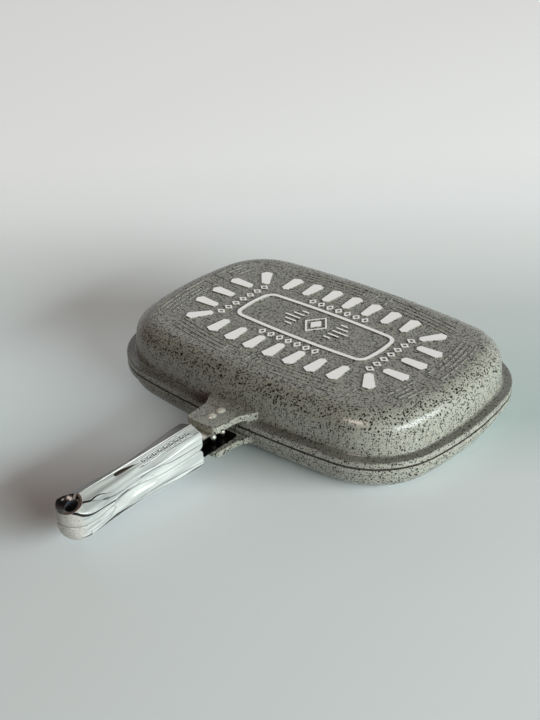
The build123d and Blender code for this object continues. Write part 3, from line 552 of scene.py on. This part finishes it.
def facet_height(x, y):
    """The height of the top of the grip over each (x, y): for every triangle the barycentric
    weights w of the point, then the highest w . z of the triangles with all w >= 0."""
    near = triangles[(triangles[:, :, 2].min(axis=1) > SEAM + ABOVE_SEAM)
                     & (triangles[:, :, 1].min(axis=1) < BAND_END + SEARCH)
                     & (triangles[:, :, 1].max(axis=1) > BAND_START - SEARCH)]
    a, b, c = near[:, 0], near[:, 1], near[:, 2]
    area = (b[:, 0] - a[:, 0]) * (c[:, 1] - a[:, 1]) - (b[:, 1] - a[:, 1]) * (c[:, 0] - a[:, 0])
    seen_from_above = np.abs(area) > SMALLEST
    a, b, c, area = (part[seen_from_above] for part in (a, b, c, area))
    px, py = x.reshape(-1, 1), y.reshape(-1, 1)
    w_b = ((px - a[:, 0]) * (c[:, 1] - a[:, 1]) - (py - a[:, 1]) * (c[:, 0] - a[:, 0])) / area
    w_c = ((b[:, 0] - a[:, 0]) * (py - a[:, 1]) - (b[:, 1] - a[:, 1]) * (px - a[:, 0])) / area
    inside = (w_b >= -ROUNDING) & (w_c >= -ROUNDING) & (w_b + w_c <= 1 + ROUNDING)
    z = a[:, 2] + w_b * (b[:, 2] - a[:, 2]) + w_c * (c[:, 2] - a[:, 2])
    return np.where(inside, z, OUTSIDE).max(axis=1).reshape(x.shape)


def distance_to_lines(u, v, starts, ends):
    """The distance of each (u, v) from the nearest of the segments: the point minus its
    projection on the segment, which is held between the segment's ends."""
    point = np.stack([u, v], axis=-1)[..., None, :]
    run = ends - starts
    share = ((point - starts) * run).sum(axis=-1) / (run ** 2).sum(axis=-1)
    nearest = starts + np.clip(share, 0, 1)[..., None] * run
    return np.linalg.norm(point - nearest, axis=-1).min(axis=-1)


# %% Key band: the lines, and the height of the sheet
SLOPE = 0.2 * MM
PROUD = 0.04 * MM
BURIED = 0.3 * MM
length = BAND_END - BAND_START
rows = int(length / STEP) + 1
columns = int((BAND_OUTER[1] - BAND_INNER[1]) / STEP) + 1
u, v = np.meshgrid(np.linspace(0, 1, rows), np.linspace(0, 1, columns), indexing="ij")
y = BAND_START + u * length
inner = BAND_INNER[0] + u * (BAND_INNER[1] - BAND_INNER[0])
outer = BAND_OUTER[0] + u * (BAND_OUTER[1] - BAND_OUTER[0])
x = inner + v * (outer - inner)
WIDTH = (BAND_OUTER[0] + BAND_OUTER[1] - BAND_INNER[0] - BAND_INNER[1]) / 2
pitch = length / KEYS
margin = LINE / 2
key = KEY * (pitch, WIDTH)
key_starts = (key[:-1] + np.arange(KEYS)[:, None, None] * (pitch, 0)).reshape(-1, 2)
key_ends = (key[1:] + np.arange(KEYS)[:, None, None] * (pitch, 0)).reshape(-1, 2)
rim = np.array([(margin, margin), (length - margin, margin), (length - margin, WIDTH - margin),
                (margin, WIDTH - margin)])
base = np.array([(margin, KEY[0, 1] * WIDTH)])
starts = np.concatenate([key_starts, rim, base])
ends = np.concatenate([key_ends, np.roll(rim, -1, axis=0), base + (length - 2 * margin, 0)])
away = distance_to_lines(u * length, v * WIDTH, starts, ends)
raised = np.clip((LINE / 2 + SLOPE / 2 - away) / SLOPE, 0, 1)
surface = facet_height(x, y)
top_sheet = np.stack([x, y, surface + PROUD + RELIEF * raised], axis=-1)
under_sheet = np.stack([x, y, surface - BURIED], axis=-1)

# %% Key band: the mesh


def closed_sheet(name, top, under, mask):
    """A mesh of the grid of top points, the same grid of under points turned over, and a wall of
    quads round their edge. The mask goes with the points as an attribute."""
    m, n = top.shape[:2]
    index = np.arange(m * n).reshape(m, n)
    quads = np.stack([index[:-1, :-1], index[:-1, 1:], index[1:, 1:], index[1:, :-1]], axis=-1)
    loop = np.concatenate([index[0, :-1], index[:-1, -1], index[-1, :0:-1], index[:0:-1, 0]])
    onward = np.roll(loop, -1)
    wall = np.stack([loop, loop + m * n, onward + m * n, onward], axis=-1)
    faces = np.concatenate([quads.reshape(-1, 4), quads.reshape(-1, 4)[:, ::-1] + m * n, wall])
    mesh = bpy.data.meshes.new(name)
    mesh.from_pydata(np.concatenate([top.reshape(-1, 3), under.reshape(-1, 3)]), [], faces)
    values = mesh.attributes.new("raised", "FLOAT", "POINT")
    values.data.foreach_set("value", np.concatenate([mask.ravel(), mask.ravel()]))
    mesh.update()
    return add_object(name, mesh)


key_band = closed_sheet("key_band", top_sheet, under_sheet, raised)
areas = np.array([face.area for face in key_band.data.polygons])
print("key band:", len(key_band.data.polygons), "faces, height under it",
      [round(h / MM, 2) for h in (surface.min(), surface.max())], "smallest face", areas.min())
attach(key_band, "upper_half")

# %% [markdown]
# The band is the same plastic. Its low places are painted dark grey, which is painted shade
# between the raised lines, and the raised lines are painted pale, painted light on their tops, so
# its colour follows the attribute that the sheet carries.

# %% Key band: material
band_plastic, band_shader = new_material("phenolic_relief_painted_shade", IOR=1.45,
                                         Coat_Weight=0.15, Coat_Roughness=0.06)
raised_value = add_node(band_plastic, "Attribute", {"attribute_name": "raised"}).outputs["Fac"]
relief_place = add_node(band_plastic, "TexCoord").outputs["Object"]
band_mottle = add_node(band_plastic, "TexNoise", Vector=relief_place, Scale=1000 / 6, Detail=3).outputs[0]
# painted shade in the low places of the band, painted light on its raised lines
band_painted_shade = layer(band_plastic, "#5C6162", "#787D7E", band_mottle)
band_colour = layer(band_plastic, band_painted_shade, "#DCDFDE", raised_value)
band_gloss = add_node(band_plastic, "MapRange", Value=band_mottle, To_Min=0.18, To_Max=0.3).outputs[0]
finish_shader(band_plastic, band_shader, Base_Color=band_colour, Roughness=band_gloss)
key_band.data.materials.append(band_plastic)

# %% [markdown]
# ## The long rivet ends
#
# Under the upper strap the rivets end in long, rounded tips, which show as two bright bullets in
# the gap between the brackets. A tip is a profile turned round a vertical axis: the radius stays
# the same for half of the length and then follows a quarter of an ellipse to the pole. Its flat
# top is sunk a little into the rivet, so that no gap shows.

# %% Rivet tips
TIP_RADIUS = 2.3 * MM
TIP_STRAIGHT = 2.6 * MM
TIP_DOME = 2.6 * MM
TIP_SUNK = 0.2 * MM
TIP_RING = 0.8 * MM
POLE_DROP = 0.02 * MM
AROUND, DOME_RINGS = 48, 13


def turned(name, centre, top_z, heights, radii):
    """A closed surface of revolution: rings of (centre + radius (cos a, sin a), top - height) for
    even angles a, with a flat face on the first ring and a pole under the last one."""
    a = np.arange(AROUND) * 2 * np.pi / AROUND
    ring = np.stack([np.cos(a), np.sin(a)], axis=-1)
    xy = np.asarray(centre) + radii[:, None, None] * ring
    z = np.broadcast_to((top_z - heights)[:, None, None], (len(heights), AROUND, 1))
    points = np.concatenate([xy, z], axis=-1).reshape(-1, 3)
    pole = np.array([[*centre, top_z - heights[-1] - POLE_DROP]])
    index = np.arange(len(heights) * AROUND).reshape(-1, AROUND)
    onward = np.roll(index, -1, axis=1)
    quads = np.stack([index[:-1], index[1:], onward[1:], onward[:-1]], axis=-1).reshape(-1, 4)
    fan = np.stack([np.full(AROUND, len(points)), onward[-1], index[-1]], axis=-1)
    mesh = bpy.data.meshes.new(name)
    mesh.from_pydata(np.concatenate([points, pole]), [],
                     [*quads.tolist(), *fan.tolist(), index[0].tolist()])
    mesh.polygons.foreach_set("use_smooth", np.ones(len(mesh.polygons), dtype=bool))
    return add_object(name, mesh)


slope = np.linspace(0, np.pi / 2, DOME_RINGS + 1)[:-1]
tip_heights = np.concatenate([[0, TIP_RING], TIP_STRAIGHT + TIP_DOME * np.sin(slope)])
tip_radii = TIP_RADIUS * np.concatenate([[1, 1], np.cos(slope)])
rivet_tips = []
for where in ("front", "rear"):
    low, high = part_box("upper_rivet_" + where)
    middle = (low + high) / 2
    tip = turned("rivet_tip_" + where, (middle.x, middle.y), low.z + TIP_SUNK, tip_heights,
                 tip_radii)
    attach(tip, "upper_half")
    rivet_tips.append(tip)
print("rivet tips reach down to", round((low.z - TIP_STRAIGHT - TIP_DOME) / MM, 1), "mm")

# %% [markdown]
# ## Rubber and metal
#
# The small parts differ in how they were made, and that shows in their grain. The gasket is
# moulded silicone, even and matt. The straps of the handle are stamped from strip: the upper one
# is polished, with grain along the strip, and the lower one is blackened. Rivets are soft
# aluminium with the marks of the press, dulled by oxide, so they are made half metallic and look
# pale and soft rather than mirrored. Screws, pins, clips and the discs of the catch are zinc
# plated, which is slightly cloudy. So one function makes such a surface from two colours, a grain
# size in mm for each direction, and a range of roughness.

# %% Rubber and metal


def grained(name, dark, pale, grain_mm, roughness, metal, depth=0.01):
    """A material whose colour and roughness follow one noise, stretched to the grain's size in
    X, Y and Z. Its bump has the given depth in mm."""
    material, shader = new_material(name, Metallic=metal)
    where = add_node(material, "TexCoord").outputs["Object"]
    stretched = add_node(material, "Mapping", _0=where,
                         Scale=[1000 / size for size in grain_mm]).outputs[0]
    noise = add_node(material, "TexNoise", Vector=stretched, Scale=1.0, Detail=4).outputs[0]
    level = add_node(material, "MapRange", Value=noise, From_Min=0.3, From_Max=0.7,
                     To_Min=roughness[0], To_Max=roughness[1]).outputs[0]
    relief = add_node(material, "Bump", Height=noise, Strength=0.3, Distance=depth * MM).outputs[0]
    finish_shader(material, shader, Base_Color=layer(material, dark, pale, noise),
                  Roughness=level, Normal=relief)
    return material


rubber = grained("silicone_gasket", "#2A100D", "#3B1813", (3, 3, 3), (0.45, 0.65), 0.0, 0.05)
steel = grained("polished_steel_strip", "#BDB9AE", "#DAD7CE", (0.8, 30, 0.8), (0.18, 0.34), 1.0)
black_steel = grained("blackened_steel_strip", "#0C0C0D", "#1B1B1D", (1, 24, 1), (0.12, 0.3), 1.0)
rivet = grained("dull_pressed_aluminium", "#B9B8AE", "#D6D5CC", (1.5, 1.5, 1.5), (0.34, 0.48), 0.5)
zinc = grained("zinc_plate", "#A9ABAB", "#CBCDCE", (2, 2, 2), (0.3, 0.5), 1.0)

finish_of = {
    "lower_pan": coat, "upper_pan": coat, "rim_gasket": rubber,
    "lower_grip": marble, "upper_grip": marble,
    "lower_tang": black_steel, "upper_tang": steel,
}
for name, piece in nodes.items():
    piece.data.materials.clear()
    piece.data.materials.append(
        finish_of.get(name) or (rivet if "rivet" in name else zinc))
for tip in rivet_tips:
    tip.data.materials.append(rivet)

# %% [markdown]
# ## Table and backdrop
#
# The pan stands on a white sheet that sweeps up far behind it. One large, flat plane stands in for
# it: its colour changes with the distance behind the middle of the pan, darker round the pan, which
# is painted shade, and pale further off, by a colour ramp on its Object coordinates. A sheet that
# sweeps up would also catch more light than a flat one, so its far part gets a little painted light
# of its own, for the eye and for reflections only, and so does the side that the window reaches
# least. From 1.6 m away the sheet fades to one even tone, so that it looks like a backdrop from
# every side. All of these places are measured on the sheet itself, so nothing slides when the view
# changes.

# %% Floor
REACH = 6
RAMP_NEAR, RAMP_FAR = -400, 800
floor_mesh = bpy.data.meshes.new("floor")
floor_mesh.from_pydata([(-REACH, -REACH, 0), (REACH, -REACH, 0), (REACH, REACH, 0),
                        (-REACH, REACH, 0)], [], [(0, 1, 2, 3)])
floor = add_object("floor", floor_mesh)
sheet, sheet_shader = new_material("white_sheet", Roughness=0.9, Specular_IOR_Level=0.15)
floor_place = add_node(sheet, "TexCoord").outputs["Object"]
depth = add_node(sheet, "VectorMath", {"operation": "DOT_PRODUCT"}, _0=floor_place,
                 _1=(-np.sin(TURN), np.cos(TURN), 0)).outputs[1]
share = add_node(sheet, "MapRange", Value=depth, From_Min=RAMP_NEAR * MM,
                 From_Max=RAMP_FAR * MM).outputs[0]


def ramp(value, stops):
    """A colour ramp with a stop for each pair of distance in mm and hex colour. A stop's place
    is its distance as a share of the way from RAMP_NEAR to RAMP_FAR."""
    node = add_node(sheet, "ValToRGB", _0=value)
    elements = node.color_ramp.elements
    spots = [((mm - RAMP_NEAR) / (RAMP_FAR - RAMP_NEAR), paint(colour)) for mm, colour in stops]
    for element, (spot, colour) in zip(elements, (spots[0], spots[-1])):
        element.position, element.color = spot, colour
    for spot, colour in spots[1:-1]:
        elements.new(spot).color = colour
    return node.outputs[0]


# painted shade: the ramp makes the sheet darker round the pan
sheet_colour = ramp(share, [(-300, "#F2F8FA"), (-150, "#EDF4F7"), (-50, "#CFDFDE"),
                            (60, "#DAE6E6"), (150, "#E2EBEC"), (300, "#EDF2F4"), (600, "#EFF1F2")])
# painted light: the sheet's own glow, for camera and glossy rays
glow_colour = ramp(share, [(-60, "#000000"), (40, "#232928"), (160, "#353A39"), (300, "#686C6B"),
                           (450, "#8B8E8E"), (620, "#999B9B")])

# %% Floor: light of its own, and the even tone further off
LEFT_START, LEFT_FULL = 0.05, 0.20
NEAR_START, NEAR_FULL = -0.20, -0.04
FAR_END, FAR_FULL = 0.35, 0.05
FADE_START, FADE_END = 1.6, 3.0
across = add_node(sheet, "VectorMath", {"operation": "DOT_PRODUCT"}, _0=floor_place,
                  _1=(-np.cos(TURN), -np.sin(TURN), 0)).outputs[1]
leftwards = add_node(sheet, "MapRange", {"interpolation_type": "SMOOTHSTEP"}, Value=across,
                     From_Min=LEFT_START, From_Max=LEFT_FULL).outputs[0]
not_near = add_node(sheet, "MapRange", {"interpolation_type": "SMOOTHSTEP"}, Value=depth,
                    From_Min=NEAR_START, From_Max=NEAR_FULL).outputs[0]
not_far = add_node(sheet, "MapRange", {"interpolation_type": "SMOOTHSTEP"}, Value=depth,
                   From_Min=FAR_END, From_Max=FAR_FULL).outputs[0]
beside = add_node(sheet, "Math", {"operation": "MULTIPLY"}, _0=not_near, _1=not_far).outputs[0]
shaded_side = add_node(sheet, "Math", {"operation": "MULTIPLY"}, _0=leftwards,
                       _1=beside).outputs[0]
glow_colour = add_node(sheet, "Mix", {"data_type": "RGBA", "blend_type": "ADD"}, _0=shaded_side,
                       _6=glow_colour, _7=paint("#7C7F80")).outputs[2]
from_pan = add_node(sheet, "VectorMath", {"operation": "LENGTH"}, _0=floor_place).outputs[1]
beyond = add_node(sheet, "MapRange", {"interpolation_type": "SMOOTHSTEP"}, Value=from_pan,
                  From_Min=FADE_START, From_Max=FADE_END).outputs[0]
sheet_colour = layer(sheet, sheet_colour, "#6E6F70", beyond)
glow_colour = layer(sheet, glow_colour, "#C9CBCC", beyond)
path_kind = add_node(sheet, "LightPath")
seen = add_node(sheet, "Math", {"operation": "MAXIMUM"}, _0=path_kind.outputs["Is Camera Ray"],
                _1=path_kind.outputs["Is Glossy Ray"]).outputs[0]
finish_shader(sheet, sheet_shader, Base_Color=sheet_colour, Emission_Color=glow_colour,
              Emission_Strength=seen)
floor_mesh.materials.append(sheet)

# %% [markdown]
# ## Room and lamps
#
# The room is warmer in front and at the sides, and there is a pale wall behind the pan. Glossy
# rays find that wall bright and the rest of the room dark, so it shows in everything glossy, and
# diffuse rays find nearly the same weak light all round. Where the eye looks past the sheet, it
# sees a pale wall on every side.
#
# A wide, low window on the right gives the bright right wall, the streak on the right crown and
# the soft shadow to the left. A small warm lamp in front gives the second, weaker glint, and only
# that: it is hidden from diffuse rays, so it lights nothing. A weak lamp behind on the left opens
# the shadows on the back and left walls, and it is hidden from glossy rays, so it leaves no glint
# on the top.

# %% World
world = bpy.data.worlds.new("room")
bpy.context.scene.world = world
world.use_nodes = True
background = world.node_tree.nodes["Background"]
direction = add_node(world, "TexCoord").outputs["Generated"]
behind = add_node(world, "VectorMath", {"operation": "DOT_PRODUCT"}, _0=direction,
                  _1=(-np.sin(TURN), np.cos(TURN), 0)).outputs[1]
towards_wall = add_node(world, "MapRange", {"interpolation_type": "SMOOTHSTEP"}, Value=behind,
                        From_Min=0.0, From_Max=0.85).outputs[0]
room_rays = add_node(world, "LightPath")
is_glossy, is_camera = room_rays.outputs["Is Glossy Ray"], room_rays.outputs["Is Camera Ray"]
wall_strength = add_node(world, "MapRange", Value=is_glossy, To_Min=0.1, To_Max=0.9).outputs[0]
room_strength = add_node(world, "MapRange", Value=is_glossy, To_Min=0.125, To_Max=0.03).outputs[0]
strength = add_node(world, "MapRange", Value=towards_wall, To_Min=room_strength,
                    To_Max=wall_strength).outputs[0]
strength = add_node(world, "MapRange", Value=is_camera, To_Min=strength, To_Max=0.8).outputs[0]
pale = add_node(world, "Math", {"operation": "MAXIMUM"}, _0=towards_wall, _1=is_camera).outputs[0]
room_colour = layer(world, "#FFCFB0", "#F1F2F3", pale)
world.node_tree.links.new(room_colour, background.inputs[0])
world.node_tree.links.new(strength, background.inputs[1])

# %% Lamps


def soft_lamp(name, turn, rise, distance, width, height, power, colour):
    """A lamp that looks at the pan. Turn is from -Y towards +X, rise is above the table, in
    degrees. Its distance and sizes are in metres, and its power is in watts."""
    lamp = add_object(name, bpy.data.lights.new(name, "AREA"))
    a, e = np.radians(turn), np.radians(rise)
    towards = Vector((np.sin(a) * np.cos(e), -np.cos(a) * np.cos(e), np.sin(e)))
    lamp.location = distance * towards
    lamp.rotation_euler = towards.to_track_quat("Z", "Y").to_euler()
    lamp.data.shape = "RECTANGLE"
    lamp.data.size, lamp.data.size_y = width, height
    lamp.data.energy = power
    lamp.data.color = paint(colour)[:3]
    return lamp


soft_lamp("window", 93, 17.5, 4.0, 4.4, 1.0, 272, "#F6FFFD")
glint = soft_lamp("warm_lamp", 6, 44, 1.6, 0.7, 0.36, 13, "#FFEBDF")
glint.visible_diffuse = False
fill = soft_lamp("back_fill", 235, 38, 2.5, 2.0, 2.0, 4, "#F3F6FA")
fill.visible_glossy = False
